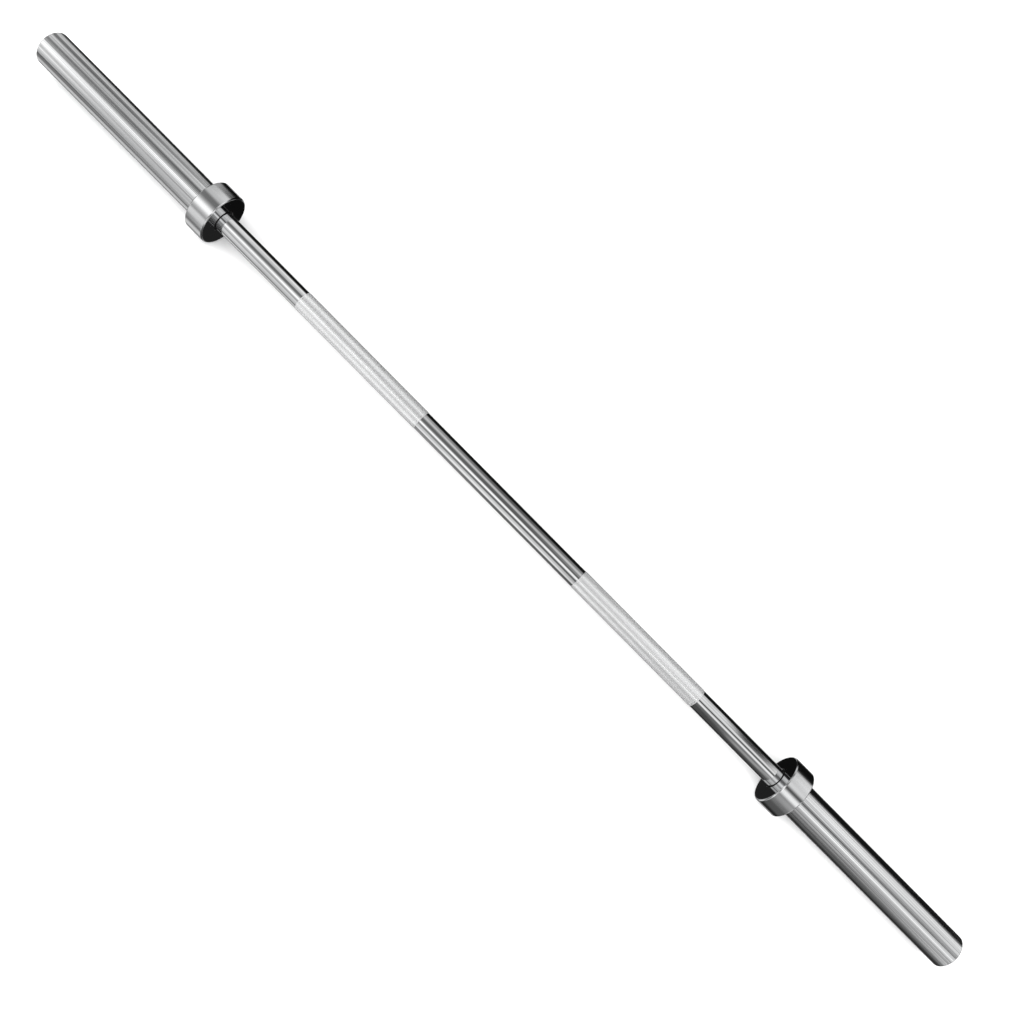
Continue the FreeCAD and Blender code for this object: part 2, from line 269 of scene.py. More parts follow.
END_BANDS = {
    # name: middle angle, half width, softness, and the strengths past the ends and far out
    "end_low_box": (-62, 20, 10, 1.3, 0.3),
    "end_eye_box": (-4, 17, 10, 1.2, 0.8),
    "end_top_box": (52, 20, 10, 0.9, 0.4),
    "end_rear_box": (130, 16, 8, 0.6, 0.5),
    "end_floor_glow": (-142, 38, 16, 0.0, 0.55),
}
# how far along the bar a reflection leans where one strength goes over into the next
CHANGES = (
    (-0.53, -0.47), (-0.445, -0.418), (-0.3, 0.0), (0.0, 0.3),
    (0.308, 0.336), (0.358, 0.384), (0.47, 0.54),
)
# the lean at which the end boxes come up, the long boxes fade and the end walls glow
END_BOX = (0.56, 0.68)
END_FADE, END_LOSS = (0.72, 0.86), 0.7
END_WALL, END_WALL_STRENGTH = (0.8, 0.97), 0.1
# the little light that is everywhere, above and below the camera, and the seam between
DARK_ABOVE, DARK_BELOW = 0.006, 0.02
DARK_SEAM = 0.01
WHITE = (1.0, 1.0, 1.0, 1.0)


def studio_room():
    room = bpy.data.worlds.new("studio_room")
    room.use_nodes = True
    graph = Graph(room.node_tree)
    ray = graph.add("ShaderNodeTexCoord", output="Generated")
    towards = graph.share(ray, to_camera)
    upwards = graph.share(ray, above_bar)
    along = graph.share(ray, (1.0, 0.0, 0.0))
    angle = graph.maths("ARCTAN2", upwards, towards)
    changes = [graph.step(along, *limits) for limits in CHANGES]

    def band(middle, half, soft):
        away = abs(angle - math.radians(middle))
        return graph.step(away, math.radians(half + soft), math.radians(half - soft))

    below = graph.step(angle, DARK_SEAM, -DARK_SEAM)
    light = below * (DARK_BELOW - DARK_ABOVE) + DARK_ABOVE
    for middle, half, soft, strengths in LIGHT_BANDS.values():
        strength = strengths[0]
        for change, before, after in zip(changes, strengths, strengths[1:]):
            if after != before:
                strength = change * (after - before) + strength
        light = light + band(middle, half, soft) * strength
    lean = abs(along)
    near_ends = graph.step(lean, *END_BOX)
    far_out = graph.step(lean, *END_FADE)
    light = light * (1 - far_out * END_LOSS)
    for middle, half, soft, near, far in END_BANDS.values():
        strength = near_ends * near + far_out * (far - near)
        light = light + band(middle, half, soft) * strength
    light = light + graph.step(lean, *END_WALL) * END_WALL_STRENGTH
    boxes = graph.add("ShaderNodeBackground", None, {"Color": WHITE, "Strength": light})
    plain = graph.add("ShaderNodeBackground", None, {"Color": WHITE, "Strength": 1.0})
    direct = graph.add("ShaderNodeLightPath", output="Is Camera Ray")
    both = graph.add("ShaderNodeMixShader", None, {0: direct, 1: boxes, 2: plain})
    graph.add("ShaderNodeOutputWorld", None, {"Surface": both})
    return room


bpy.context.scene.world = studio_room()
print("light bands", len(LIGHT_BANDS), "end bands", len(END_BANDS))

# %% [markdown]
# ## Floor lamps
# Two lamps light the floor: a broad one from the camera's side, like a sky, and a weaker one
# from the left. Area lights could do it, but a sun lamp with a wide angle lights the whole
# floor evenly and with soft shadows. No reflection shows the lamps, because the chrome has
# its own light boxes. The Standard view is set too: the softer default would turn the
# white floor grey.

# %% Hang the floor lamps
FLOOR_LAMPS = {
    # name: direction it shines from, how wide it looks in degrees, strength
    "sky_lamp": ((-0.1, -0.57, 0.8), 70.0, 3.8),
    "left_lamp": ((-0.8, -0.3, 0.5), 30.0, 0.9),
}
for name, (shines_from, wide, strength) in FLOOR_LAMPS.items():
    lamp_data = bpy.data.lights.new(name, "SUN")
    lamp_data.angle = math.radians(wide)
    lamp_data.energy = strength
    lamp = bpy.data.objects.new(name, lamp_data)
    lamp.rotation_euler = (-Vector(shines_from)).to_track_quat("-Z", "Y").to_euler()
    lamp.visible_glossy = False
    bpy.context.scene.collection.objects.link(lamp)
bpy.context.scene.view_settings.view_transform = "Standard"
print("floor lamps", len(FLOOR_LAMPS))

# %% [markdown]
# ## Finishes
# Every finish starts from the same helpers. Lines that the grinder or polisher left are
# noise stretched along one direction, and smudges are slow noise. Together they change the
# colour, the roughness and the relief a little, as on real plating. Painted images could do
# this too, but a pattern worked out from each point's own place needs no image, has no
# seam and turns with its sleeve. Patterns are counted in cells per metre.

# %% Start a finish
PLAIN_DETAIL = 2.0
RICH_DETAIL = 3.0


class Finish(Graph):
    """The node tree of one material, with the patterns that several finishes share."""

    def __init__(self, name):
        self.material = bpy.data.materials.new(name)
        self.material.use_nodes = True
        super().__init__(self.material.node_tree)
        self.place = self.add("ShaderNodeTexCoord", output="Object")
        self.along = self.add("ShaderNodeSeparateXYZ", None, {0: self.place}, "X")
        flat = {0: self.place, 1: (0.0, 1.0, 1.0)}
        across = self.add("ShaderNodeVectorMath", {"operation": "MULTIPLY"}, flat)
        length = {"operation": "LENGTH"}
        self.radius = self.add("ShaderNodeVectorMath", length, {0: across}, "Value")

    def cloud(self, cells, detail=PLAIN_DETAIL):
        """Noise that is alike in every direction."""
        spot = {"Vector": self.place, "Scale": cells, "Detail": detail}
        return self.add("ShaderNodeTexNoise", None, spot)

    def grain(self, cells):
        """Noise stretched by its cells along X, Y and Z."""
        stretched = self.add("ShaderNodeMapping", None, {"Vector": self.place, "Scale": cells})
        spot = {"Vector": stretched, "Scale": 1.0, "Detail": PLAIN_DETAIL}
        return self.add("ShaderNodeTexNoise", None, spot)

    def rings(self, distance, cells):
        """Turning lines: noise that changes only with a distance."""
        spot = {"W": distance * cells, "Scale": 1.0, "Detail": PLAIN_DETAIL}
        return self.add("ShaderNodeTexNoise", {"noise_dimensions": "1D"}, spot)

    def tint(self, mask, low, high):
        """A blend of two colours that are written without their alpha."""
        return self.blend(mask, (*low, 1.0), (*high, 1.0))

    def bump(self, height, depth):
        """Shallow relief: height from 0 to 1 stands for a depth in metres."""
        relief = {"Height": height, "Strength": 1.0, "Distance": depth}
        return self.add("ShaderNodeBump", None, relief)

    def close(self, **sockets):
        """Ends the tree with a shader, whose sockets have underscores for spaces here."""
        inputs = {name.replace("_", " "): value for name, value in sockets.items()}
        surface = self.add("ShaderNodeBsdfPrincipled", None, inputs)
        self.add("ShaderNodeOutputMaterial", None, {"Surface": surface})
        return self.material


print("finishes ready")

# %% [markdown]
# ## Polished shaft chrome
# The plain parts of the shaft are among the smoothest on the bar: centreless ground,
# polished and plated, so they mirror the light boxes as sharp stripes. A perfect mirror
# would look drawn, so very fine lines run along the bar, slow waves bend the stripes a
# little, and hands leave faint smudges.

# %% Polished shaft chrome
CLEAR_PLATE = (0.74, 0.745, 0.75)
HAZY_PLATE = (0.6, 0.605, 0.61)
SHAFT_LINE_CELLS = (5.0, 800.0, 800.0)
SHAFT_WAVE_CELLS = (9.0, 130.0, 130.0)
SHAFT_HAZE_CELLS = 22.0
LINE_EDGES = (0.36, 0.64)
HAZE_EDGES = (0.45, 0.7)
SHAFT_RELIEF = 0.014 * MM


def polished_shaft_chrome():
    finish = Finish("polished_shaft_chrome")
    lines = finish.step(finish.grain(SHAFT_LINE_CELLS), *LINE_EDGES)
    waves = finish.grain(SHAFT_WAVE_CELLS)
    haze = finish.step(finish.cloud(SHAFT_HAZE_CELLS), *HAZE_EDGES)
    return finish.close(
        Base_Color=finish.tint(lines * 0.7 + haze * 0.3, CLEAR_PLATE, HAZY_PLATE),
        Metallic=1.0,
        Roughness=lines * 0.04 + haze * 0.05 + 0.04,
        Normal=finish.bump(lines * 0.2 + waves, SHAFT_RELIEF),
    )


shaft_chrome = polished_shaft_chrome()
print("made", shaft_chrome.name)

# %% [markdown]
# ## Knurled chrome
# The grips are the same plate over a rolled diamond pattern. Light comes back from so many
# small faces that the grip reads as pale and matt. One pale matt colour could stand for
# it, but the diamonds themselves are modelled, so the finish tells tops from grooves by
# their radius: the colour paints the grooves darker as painted shade and the tops lighter,
# and the grooves are also made rougher and a little less metallic.

# %% Knurled chrome
KNURL_ROOT = 14.2 * MM
# the grooves get a darker colour than the tops: painted shade in the hollows of the knurl
GROOVE_PAINTED_SHADE = (0.66, 0.66, 0.665)
CREST_WHITE = (0.97, 0.975, 0.98)
GRIP_DUST_CELLS = 60.0
GRIP_SPECK_CELLS = 1500.0
SPECK_RELIEF = 0.006 * MM


def knurled_chrome():
    finish = Finish("knurled_chrome")
    crest = finish.step(finish.radius, KNURL_ROOT, KNURL_CREST)
    dust = finish.cloud(GRIP_DUST_CELLS, RICH_DETAIL)
    specks = finish.cloud(GRIP_SPECK_CELLS)
    # painted shade: the crest mask lightens the tops and leaves the grooves dark; the specks
    # and dust vary the tone at random
    tone = crest * 0.6 + specks * 0.3 - dust * 0.15 + 0.15
    return finish.close(
        Base_Color=finish.tint(tone, GROOVE_PAINTED_SHADE, CREST_WHITE),
        Metallic=crest * 0.1 + 0.84,
        Roughness=dust * 0.06 - crest * 0.24 + 0.4,
        Normal=finish.bump(specks, SPECK_RELIEF),
    )


grip_chrome = knurled_chrome()
print("made", grip_chrome.name)

# %% [markdown]
# ## Ground sleeve chrome
# The sleeves are ground tube, plated and not polished as brightly as the shaft, so the
# stripes on them are softer. Plates slide along them, which leaves fine streaks from end
# to end. An anisotropic shader could smear the highlights, but only a stretched noise
# shows the streaks one by one. The end face and its bevel were turned, so circles take
# over there.

# %% Ground sleeve chrome
SLEEVE_CHAMFER = 1.5 * MM
END_SKIN = 0.2 * MM
DARK_STREAK = (0.46, 0.465, 0.47)
BRIGHT_STREAK = (0.86, 0.865, 0.87)
FINE_STREAK_CELLS = (3.0, 700.0, 700.0)
BROAD_STREAK_CELLS = (1.6, 230.0, 230.0)
SLEEVE_END_CELLS = 4500.0
SLEEVE_SMUDGE_CELLS = 18.0
STREAK_RELIEF = 0.008 * MM


def ground_sleeve_chrome():
    finish = Finish("ground_sleeve_chrome")
    bevel_start = SLEEVE_END - SLEEVE_CHAMFER
    turned_end = finish.step(abs(finish.along), bevel_start - END_SKIN, bevel_start + END_SKIN)
    fine = finish.grain(FINE_STREAK_CELLS)
    broad = finish.grain(BROAD_STREAK_CELLS)
    ground = (fine * 0.6 + broad * 0.4) * (1 - turned_end)
    circles = finish.rings(finish.radius, SLEEVE_END_CELLS) * turned_end
    streaks = finish.step(ground + circles, *LINE_EDGES)
    smudges = finish.cloud(SLEEVE_SMUDGE_CELLS)
    return finish.close(
        Base_Color=finish.tint(streaks, DARK_STREAK, BRIGHT_STREAK),
        Metallic=1.0,
        Roughness=streaks * 0.07 + smudges * 0.06 + 0.11,
        Normal=finish.bump(streaks, STREAK_RELIEF),
    )


sleeve_chrome = ground_sleeve_chrome()
print("made", sleeve_chrome.name)

# %% [markdown]
# ## Turned collar chrome
# A collar is turned on a lathe, so its lines run round the bar: along the rim they are rings
# beside each other, and on the two flat faces they are circles inside each other. Two
# noises could draw them, but one does: it reads the place along the bar on the rim and the
# radius on the faces. The inner face is polished like a mirror and shows the dark room.

# %% Turned collar chrome
FACE_SKIN = 0.25 * MM
COLLAR_PLATE = (0.7, 0.705, 0.71)
COLLAR_SMUDGE = (0.63, 0.635, 0.64)
COLLAR_LINE_CELLS = 2600.0
COLLAR_SMUDGE_CELLS = 26.0
COLLAR_RELIEF = 0.0025 * MM


def turned_collar_chrome():
    finish = Finish("turned_collar_chrome")
    far = abs(finish.along)
    inner = finish.step(far, COLLAR_FACE + 2 * FACE_SKIN, COLLAR_FACE + FACE_SKIN)
    outer = finish.step(far, COLLAR_BACK - 2 * FACE_SKIN, COLLAR_BACK - FACE_SKIN)
    flat = inner + outer
    lines = finish.rings(finish.radius * flat + far * (1 - flat), COLLAR_LINE_CELLS)
    smudges = finish.cloud(COLLAR_SMUDGE_CELLS)
    return finish.close(
        Base_Color=finish.tint(smudges, COLLAR_PLATE, COLLAR_SMUDGE),
        Metallic=1.0,
        Roughness=(lines * 0.08 + smudges * 0.05 + 0.055) * (1 - inner * 0.4),
        Normal=finish.bump(lines * (1 - inner * 0.7), COLLAR_RELIEF),
    )


collar_chrome = turned_collar_chrome()
print("made", collar_chrome.name)

# %% [markdown]
# ## Seal rubber
# The dust seals are matt black rubber with a fine moulded grain. Plain black would do from
# afar, but close up the pores and a trace of dust keep the ring from looking like a hole.

# %% Seal rubber
RUBBER_BLACK = (0.003, 0.003, 0.003)
RUBBER_DUST = (0.01, 0.01, 0.01)
RUBBER_PORE_CELLS = 3500.0
RUBBER_DUST_CELLS = 180.0
RUBBER_RELIEF = 0.03 * MM


def seal_rubber():
    finish = Finish("seal_rubber")
    pores = finish.cloud(RUBBER_PORE_CELLS, RICH_DETAIL)
    dust = finish.cloud(RUBBER_DUST_CELLS, RICH_DETAIL)
    return finish.close(
        Base_Color=finish.tint(dust, RUBBER_BLACK, RUBBER_DUST),
        Roughness=pores * 0.2 + dust * 0.1 + 0.55,
        Specular_IOR_Level=0.25,
        Normal=finish.bump(pores, RUBBER_RELIEF),
    )


rubber = seal_rubber()
print("made", rubber.name)

# %% [markdown]
# ## Turned cap steel
# The end caps are turned and plated, with circles that catch the light. A wrapped picture
# of a turned face would blur close up, so noise along the radius draws the circles: fine
# ones that the tool cut and wide ones where it shook.

# %% Turned cap steel
CAP_PLATE = (0.6, 0.605, 0.61)
CAP_SMUDGE = (0.5, 0.505, 0.51)
CAP_LINE_CELLS = 2200.0
CAP_WAVE_CELLS = 500.0
CAP_SMUDGE_CELLS = 120.0
CAP_RELIEF = 0.005 * MM


def turned_cap_steel():
    finish = Finish("turned_cap_steel")
    lines = finish.rings(finish.radius, CAP_LINE_CELLS)
    waves = finish.rings(finish.radius, CAP_WAVE_CELLS)
    smudges = finish.cloud(CAP_SMUDGE_CELLS, RICH_DETAIL)
    return finish.close(
        Base_Color=finish.tint(smudges, CAP_PLATE, CAP_SMUDGE),
        Metallic=1.0,
        Roughness=lines * 0.16 + smudges * 0.1 + 0.14,
        Normal=finish.bump(lines + waves, CAP_RELIEF),
    )


cap_steel = turned_cap_steel()
print("made", cap_steel.name)

# %% [markdown]
# ## Oily bronze
# The bushings inside the sleeves are sintered bronze, full of small pores that hold oil. A
# plain brown metal would do while they are hidden, but a bar is opened for cleaning, so
# the pores, the darker oily patches and the rings of the turning tool are all there.

# %% Oily bronze
CLEAN_BRONZE = (0.5, 0.31, 0.13)
OILY_BRONZE = (0.32, 0.19, 0.08)
BRONZE_PORE_CELLS = 2600.0
BRONZE_OIL_CELLS = 90.0
BRONZE_LINE_CELLS = 1800.0
BRONZE_RELIEF = 0.008 * MM


def oily_bronze():
    finish = Finish("oily_bronze")
    pores = finish.cloud(BRONZE_PORE_CELLS, RICH_DETAIL)
    oil = finish.cloud(BRONZE_OIL_CELLS, RICH_DETAIL)
    lines = finish.rings(finish.along, BRONZE_LINE_CELLS)
    return finish.close(
        Base_Color=finish.tint(oil, CLEAN_BRONZE, OILY_BRONZE),
        Metallic=1.0,
        Roughness=pores * 0.2 + lines * 0.1 + 0.25,
        Normal=finish.bump(pores + lines, BRONZE_RELIEF),
    )


bronze = oily_bronze()
print("made", bronze.name)

# %% [markdown]
# ## Ground washer steel
# A thrust washer is a flat ring, ground on a wheel that crosses it in straight lines. Rings
# would be easier to draw, but they would say that it was turned, so the noise is
# stretched along X and Y instead.

# %% Ground washer steel
DRY_WASHER = (0.52, 0.52, 0.53)
OILY_WASHER = (0.4, 0.4, 0.4)
WASHER_LINE_CELLS = (200.0, 200.0, 3000.0)
WASHER_OIL_CELLS = 150.0
WASHER_RELIEF = 0.004 * MM


def ground_washer_steel():
    finish = Finish("ground_washer_steel")
    lines = finish.grain(WASHER_LINE_CELLS)
    oil = finish.cloud(WASHER_OIL_CELLS)
    return finish.close(
        Base_Color=finish.tint(oil, DRY_WASHER, OILY_WASHER),
        Metallic=1.0,
        Roughness=lines * 0.2 + oil * 0.1 + 0.2,
        Normal=finish.bump(lines, WASHER_RELIEF),
    )


washer_steel = ground_washer_steel()
print("made", washer_steel.name)

# %% [markdown]
# ## Black spring steel
# Snap rings and circlips are spring steel with a black phosphate skin of tiny crystals. It
# could be a black paint, but the skin wears: where it is thin, the steel shows through a
# little brighter and smoother.

# %% Black spring steel
PHOSPHATE_BLACK = (0.06, 0.06, 0.065)
PHOSPHATE_WORN = (0.12, 0.12, 0.125)
CRYSTAL_CELLS = 5000.0
SPRING_WEAR_CELLS = 700.0
CRYSTAL_RELIEF = 0.012 * MM


def black_spring_steel():
    finish = Finish("black_spring_steel")
    crystals = finish.cloud(CRYSTAL_CELLS, RICH_DETAIL)
    worn = finish.cloud(SPRING_WEAR_CELLS, RICH_DETAIL)
    return finish.close(
        Base_Color=finish.tint(worn, PHOSPHATE_BLACK, PHOSPHATE_WORN),
        Metallic=0.85,
        Roughness=crystals * 0.2 - worn * 0.12 + 0.44,
        Normal=finish.bump(crystals, CRYSTAL_RELIEF),
    )


spring_steel = black_spring_steel()
print("made", spring_steel.name)

# %% [markdown]
# ## Keeping a piece
# Every new piece is kept in the same way: its mesh becomes an object at the origin, rides on
# a body of the CAD model, so that it turns with that body, and carries its finish.
# On turned metal flat faces meet small roundings. Plain smooth shading would bend the
# reflections in the flat faces too, so the shading is weighted by the size of the faces.

# %% Keep a piece
CRISP_ANGLE = math.radians(32.0)


def keep_piece(name, maker, finish, body):
    """Makes the finished mesh an object that rides on a body of the CAD model."""
    mesh = bpy.data.meshes.new(name)
    maker.to_mesh(mesh)
    maker.free()
    mesh.materials.append(finish)
    piece = bpy.data.objects.new(name, mesh)
    bpy.context.scene.collection.objects.link(piece)
    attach(piece, body)
    print(name, "faces", len(mesh.polygons))
    return piece


def even_shading(piece):
    """Smooth shading that leaves flat faces flat beside their rounded edges."""
    piece.data.shade_smooth()
    piece.data.set_sharp_from_angle(angle=CRISP_ANGLE)
    weighted = piece.modifiers.new("even_shading", "WEIGHTED_NORMAL")
    weighted.keep_sharp = True


print("edges stay sharp from", math.degrees(CRISP_ANGLE), "degrees")

# %% [markdown]
# ## Turning a piece
# Nearly everything on a barbell comes off a lathe, so one helper does what a lathe does: an
# outline of places along the bar and radii is spun once round X. Cylinders could be put
# together instead, but one outline gives one closed skin. Each corner of the outline may
# name a rounding, which bevels its ring after the spin, because a real edge is never
# perfectly sharp and its thin highlight shows that it is metal.

# %% Turn an outline round the bar
ROUND_STEPS = 144
BEVEL_STEPS = 3
NEARLY = 1.0e-6


def spin_round(maker, steps):
    """Spins all that is drawn once round X, closes the seam and turns the faces outwards."""
    bmesh.ops.spin(
        maker, geom=maker.verts[:] + maker.edges[:], cent=(0, 0, 0), axis=(1, 0, 0),
        dvec=(0, 0, 0), angle=math.tau, steps=steps, use_merge=True,
    )
    bmesh.ops.remove_doubles(maker, verts=maker.verts, dist=NEARLY)
    bmesh.ops.recalc_face_normals(maker, faces=maker.faces)


def ring_edges(maker, along, radius):
    """The edges of the circle that one corner of an outline has drawn."""

    def on_ring(corner):
        out = math.hypot(corner.co.y, corner.co.z)
        return abs(corner.co.x - along) < NEARLY and abs(out - radius) < NEARLY

    return [edge for edge in maker.edges if all(on_ring(corner) for corner in edge.verts)]


def turned(outline, closed=True):
    """Spins corners of (along, radius, rounding) and rounds the rings that ask for it."""
    maker = bmesh.new()
    corners = [maker.verts.new((along, 0.0, radius)) for along, radius, rounding in outline]
    pairs = list(zip(corners, corners[1:]))
    if closed:
        pairs.append((corners[-1], corners[0]))
    for pair in pairs:
        maker.edges.new(pair)
    spin_round(maker, ROUND_STEPS)
    for along, radius, rounding in outline:
        if rounding:
            bmesh.ops.bevel(
                maker, geom=ring_edges(maker, along, radius), offset=rounding,
                offset_type="OFFSET", affect="EDGES", segments=BEVEL_STEPS, profile=0.5,
                material=-1, clamp_overlap=True,
            )
    return maker


def on_side(outline, sign):
    """An outline of the right end as it is for a sign of 1, or mirrored for -1."""
    return [(sign * along, radius, rounding) for along, radius, rounding in outline]


def turn_both_ends(name, outline, finish, node, closed=True):
    """Turns a piece of the right end, and its mirror image for the left end."""
    for side, sign in SIDES.items():
        maker = turned(on_side(outline, sign), closed)
        piece = keep_piece(side + name, maker, finish, side + "_sleeve_assembly")
        even_shading(piece)
        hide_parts(side + node)


print("lathe ready, steps", ROUND_STEPS)

# %% [markdown]
# ## Shaft
# The shaft is one bar of steel: plain in the middle, with a seat under each knurled grip,
# a shoulder inside each collar and a thinner journal on which the sleeve turns. The
# CAD node is coarse round its girth and its facets would break every reflection, so a
# finely turned shaft takes its place.

# %% Turn the shaft
JOURNAL_RADIUS = 12.5 * MM
GROOVE_RADIUS = 11.6 * MM
KNURL_SEAT = 13.6 * MM
JOURNAL_CHAMFER = 1.0 * MM
SMALL_ROUND = 0.25 * MM

RIGHT_HALF = [
    (KNURL_START, SHAFT_RADIUS, 0),
    (KNURL_START, KNURL_SEAT, 0),
    (KNURL_STOP, KNURL_SEAT, 0),
    (KNURL_STOP, SHAFT_RADIUS, 0),
    (SHOULDER, SHAFT_RADIUS, SMALL_ROUND),
    (SHOULDER, JOURNAL_RADIUS, 0),
    (RING_START, JOURNAL_RADIUS, 0),
    (RING_START, GROOVE_RADIUS, 0),
    (RING_STOP, GROOVE_RADIUS, 0),
    (RING_STOP, JOURNAL_RADIUS, 0),
    (SHAFT_END - JOURNAL_CHAMFER, JOURNAL_RADIUS, SMALL_ROUND),
    (SHAFT_END, JOURNAL_RADIUS - JOURNAL_CHAMFER, SMALL_ROUND),
    (SHAFT_END, 0.0, 0),
]
LEFT_HALF = on_side(RIGHT_HALF[::-1], SIDES["left"])
shaft_maker = turned(LEFT_HALF + RIGHT_HALF, closed=False)
shaft = keep_piece("turned_shaft", shaft_maker, shaft_chrome, "bar")
even_shading(shaft)
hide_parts("shaft")

# %% [markdown]
# ## Knurled grips
# Knurling wheels press two crossing sets of grooves into the shaft and leave rows of small
# diamonds. A bump map would look flat at the outline, so the diamonds are real: a
# spun grid is poked to give every cell a middle, the old edges are dissolved so that the
# diagonals remain as diamonds, and each diamond is inset and raised to a blunt top.

# %% Roll the knurled grips
KNURL_AROUND = 56
KNURL_HALF_ANGLE = math.radians(30.0)
KNURL_WALL = 13.55 * MM
DIAMOND_TOP_SHARE = 0.68

CELL_WIDTH = math.tau * KNURL_ROOT / KNURL_AROUND
CELL_LENGTH = CELL_WIDTH / math.tan(KNURL_HALF_ANGLE)
KNURL_ROWS = round(KNURL_LENGTH / CELL_LENGTH)
DIAMOND_INSIDE = CELL_WIDTH * math.cos(KNURL_HALF_ANGLE) / 2
DIAMOND_MARGIN = DIAMOND_INSIDE * (1 - DIAMOND_TOP_SHARE)
WALL_SHARE = KNURL_WALL / KNURL_ROOT


def raise_diamonds(maker):
    """Turns a skin of four-sided cells into diamonds and lifts their tops."""
    grid = [edge for edge in maker.edges if not edge.is_boundary]
    bmesh.ops.poke(
        maker, faces=maker.faces[:], offset=0.0, center_mode="MEAN", use_relative_offset=False,
    )
    bmesh.ops.dissolve_edges(maker, edges=grid, use_verts=False, use_face_split=False)
    diamonds = [face for face in maker.faces if len(face.verts) == 4]
    bmesh.ops.inset_individual(
        maker, faces=diamonds, thickness=DIAMOND_MARGIN, depth=KNURL_CREST - KNURL_ROOT,
        use_even_offset=True,
    )


def close_below(maker):
    """Draws both rims of a skin inwards and joins them to a wall on its inner side."""
    rims = [edge for edge in maker.edges if edge.is_boundary]
    grown = bmesh.ops.extrude_edge_only(maker, edges=rims)["geom"]
    sunk = [item for item in grown if isinstance(item, bmesh.types.BMVert)]
    bmesh.ops.scale(maker, vec=(1.0, WALL_SHARE, WALL_SHARE), verts=sunk)
    bmesh.ops.bridge_loops(maker, edges=[edge for edge in maker.edges if edge.is_boundary])
    bmesh.ops.recalc_face_normals(maker, faces=maker.faces)


def knurled_band(start, stop):
    maker = bmesh.new()
    ends = [maker.verts.new((along, 0.0, KNURL_ROOT)) for along in (start, stop)]
    line = maker.edges.new(ends)
    bmesh.ops.subdivide_edges(maker, edges=[line], cuts=KNURL_ROWS - 1)
    spin_round(maker, KNURL_AROUND)
    raise_diamonds(maker)
    close_below(maker)
    return maker


for side, sign in SIDES.items():
    band = knurled_band(sign * KNURL_START, sign * KNURL_STOP)
    keep_piece(side + "_knurled_grip", band, grip_chrome, "bar")
print("diamonds round the grip", KNURL_AROUND, "along it", KNURL_ROWS)

# %% [markdown]
# ## Loading sleeves
# A sleeve is a thick tube with a bevelled outer end. Inside it are the seats of the two
# bushings, a recess for the end cap and a groove for the spring ring. They could be cut
# out of a tube one by one, but one closed outline gives clean walls inside and outside.
# Its seat in the collar is a shallow cone, as in the CAD model.

# %% Turn the sleeves
SLEEVE_BORE = 15.06 * MM
SLEEVE_SEAT = 24.0 * MM
SEAT_CONE = 3.0 * MM
CAP_CLEARANCE = 0.1 * MM
FLANGE_THICKNESS = 3.0 * MM
EDGE_ROUND = 0.4 * MM

CAP_BORE = CAP_RADIUS + CAP_CLEARANCE
INNER_SEAT = INNER_FLANGE + FLANGE_THICKNESS
OUTER_SEAT = OUTER_FLANGE - FLANGE_THICKNESS

SLEEVE_OUTLINE = [
    (SLEEVE_START, COUNTERBORE, 0),
    (SLEEVE_START, SLEEVE_SEAT, 0),
    (COLLAR_BACK - SEAT_CONE, SLEEVE_SEAT, 0),
    (COLLAR_BACK, SLEEVE_RADIUS, 0),
    (SLEEVE_END - SLEEVE_CHAMFER, SLEEVE_RADIUS, EDGE_ROUND),
    (SLEEVE_END, SLEEVE_RADIUS - SLEEVE_CHAMFER, EDGE_ROUND),
    (SLEEVE_END, CAP_BORE, EDGE_ROUND),
    (CLIP_STOP, CAP_BORE, 0),
    (CLIP_STOP, CLIP_RADIUS, 0),
    (CLIP_START, CLIP_RADIUS, 0),
    (CLIP_START, CAP_BORE, 0),
    (CAP_START, CAP_BORE, 0),
    (CAP_START, COUNTERBORE, 0),
    (OUTER_SEAT, COUNTERBORE, 0),
    (OUTER_SEAT, SLEEVE_BORE, 0),
    (INNER_SEAT, SLEEVE_BORE, 0),
    (INNER_SEAT, COUNTERBORE, 0),
]
turn_both_ends("_loading_sleeve", SLEEVE_OUTLINE, sleeve_chrome, "_sleeve")

# %% [markdown]
# ## Collars
# The collars are wide rings pressed onto the sleeves. Both rims have a bevel that catches
# the light as a thin bright line, and the inner web leaves only a narrow gap round the
# shaft for the dust seal. A bevelled cylinder would look the same from outside, but the
# outline also follows the cone of the sleeve's seat, so the two fit when they are cut open.

# %% Turn the collars
COLLAR_CHAMFER = 1.5 * MM
FINE_ROUND = 0.15 * MM

COLLAR_OUTLINE = [
    (COLLAR_FACE, SEAL_RADIUS, FINE_ROUND),
    (COLLAR_FACE, COLLAR_RADIUS - COLLAR_CHAMFER, EDGE_ROUND),
    (COLLAR_FACE + COLLAR_CHAMFER, COLLAR_RADIUS, EDGE_ROUND),
    (COLLAR_BACK - COLLAR_CHAMFER, COLLAR_RADIUS, FINE_ROUND),
    (COLLAR_BACK, COLLAR_RADIUS - COLLAR_CHAMFER, FINE_ROUND),
    (COLLAR_BACK, SLEEVE_RADIUS, 0),
    (COLLAR_BACK - SEAT_CONE, SLEEVE_SEAT, 0),
    (SLEEVE_START, SLEEVE_SEAT, 0),
    (SLEEVE_START, SEAL_RADIUS, 0),
]
turn_both_ends("_stop_collar", COLLAR_OUTLINE, collar_chrome, "_collar")

# %% [markdown]
# ## Dust seals
# A rubber ring sits in the web of each collar, just below its face, and keeps chalk out of the
# bushing. A plain washer would close the gap too, but a real seal has a lip, which leans
# towards the shaft and stays clear of it by a hair.

# %% Turn the dust seals
SEAL_BORE = 14.3 * MM
SEAL_BODY = 15.1 * MM
LIP_THICKNESS = 0.9 * MM
RUBBER_ROUND = 0.2 * MM

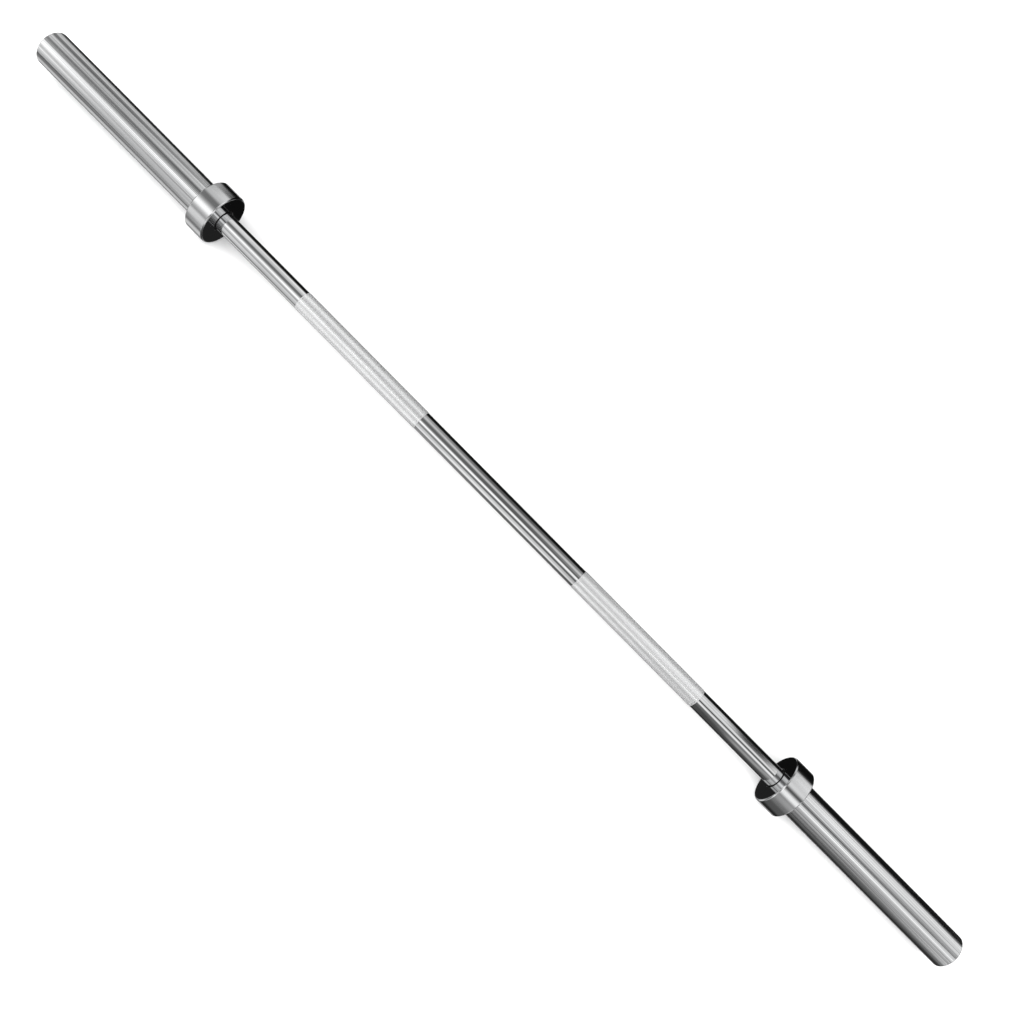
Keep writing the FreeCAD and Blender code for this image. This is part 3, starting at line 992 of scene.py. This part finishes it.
SEAL_OUTLINE = [
    (SEAL_START, SEAL_RADIUS, RUBBER_ROUND),
    (SEAL_START, SEAL_BODY, RUBBER_ROUND),
    (SEAL_START + LIP_THICKNESS / 2, SEAL_BORE, 0),
    (SEAL_START + LIP_THICKNESS, SEAL_BORE, 0),
    (SEAL_START + 2 * LIP_THICKNESS, SEAL_BODY, 0),
    (SEAL_STOP, SEAL_BODY, 0),
    (SEAL_STOP, SEAL_RADIUS, 0),
]
turn_both_ends("_lip_seal", SEAL_OUTLINE, rubber, "_dust_seal")

# %% [markdown]
# ## End caps
# A turned disc closes the outer end of each sleeve. A flat one would shine as a single
# mirror, so its face has a shallow dish with rounded edges, as turned caps have.

# %% Turn the end caps
DISH_RADIUS = 11.06 * MM
DISH_DEPTH = 1.0 * MM
CAP_CHAMFER = 0.5 * MM

CAP_OUTLINE = [
    (CAP_START, 0.0, 0),
    (CAP_START, CAP_RADIUS, SMALL_ROUND),
    (CAP_STOP - CAP_CHAMFER, CAP_RADIUS, 0),
    (CAP_STOP, CAP_RADIUS - CAP_CHAMFER, 0),
    (CAP_STOP, DISH_RADIUS, SMALL_ROUND),
    (CAP_STOP - DISH_DEPTH, DISH_RADIUS - DISH_DEPTH, SMALL_ROUND),
    (CAP_STOP - DISH_DEPTH, 0.0, 0),
]
turn_both_ends("_dished_cap", CAP_OUTLINE, cap_steel, "_end_cap", closed=False)

# %% [markdown]
# ## Pieces kept from the CAD model
# The bushings, thrust washers and spring rings are small or hidden, and their solids already
# have the right shape. They could be turned anew like the rest, but nothing would be
# gained, so they stay as they are and only get their finishes.

# %% Dress the kept nodes
KEPT_FINISHES = {
    "inner_bushing": bronze,
    "outer_bushing": bronze,
    "inner_thrust_washer": washer_steel,
    "outer_thrust_washer": washer_steel,
    "snap_ring": spring_steel,
    "cap_circlip": spring_steel,
}
for side in SIDES:
    for node, material in KEPT_FINISHES.items():
        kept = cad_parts[side + "_" + node]
        for slot in kept.material_slots:
            slot.material = material
print("dressed", len(SIDES) * len(KEPT_FINISHES), "kept nodes")
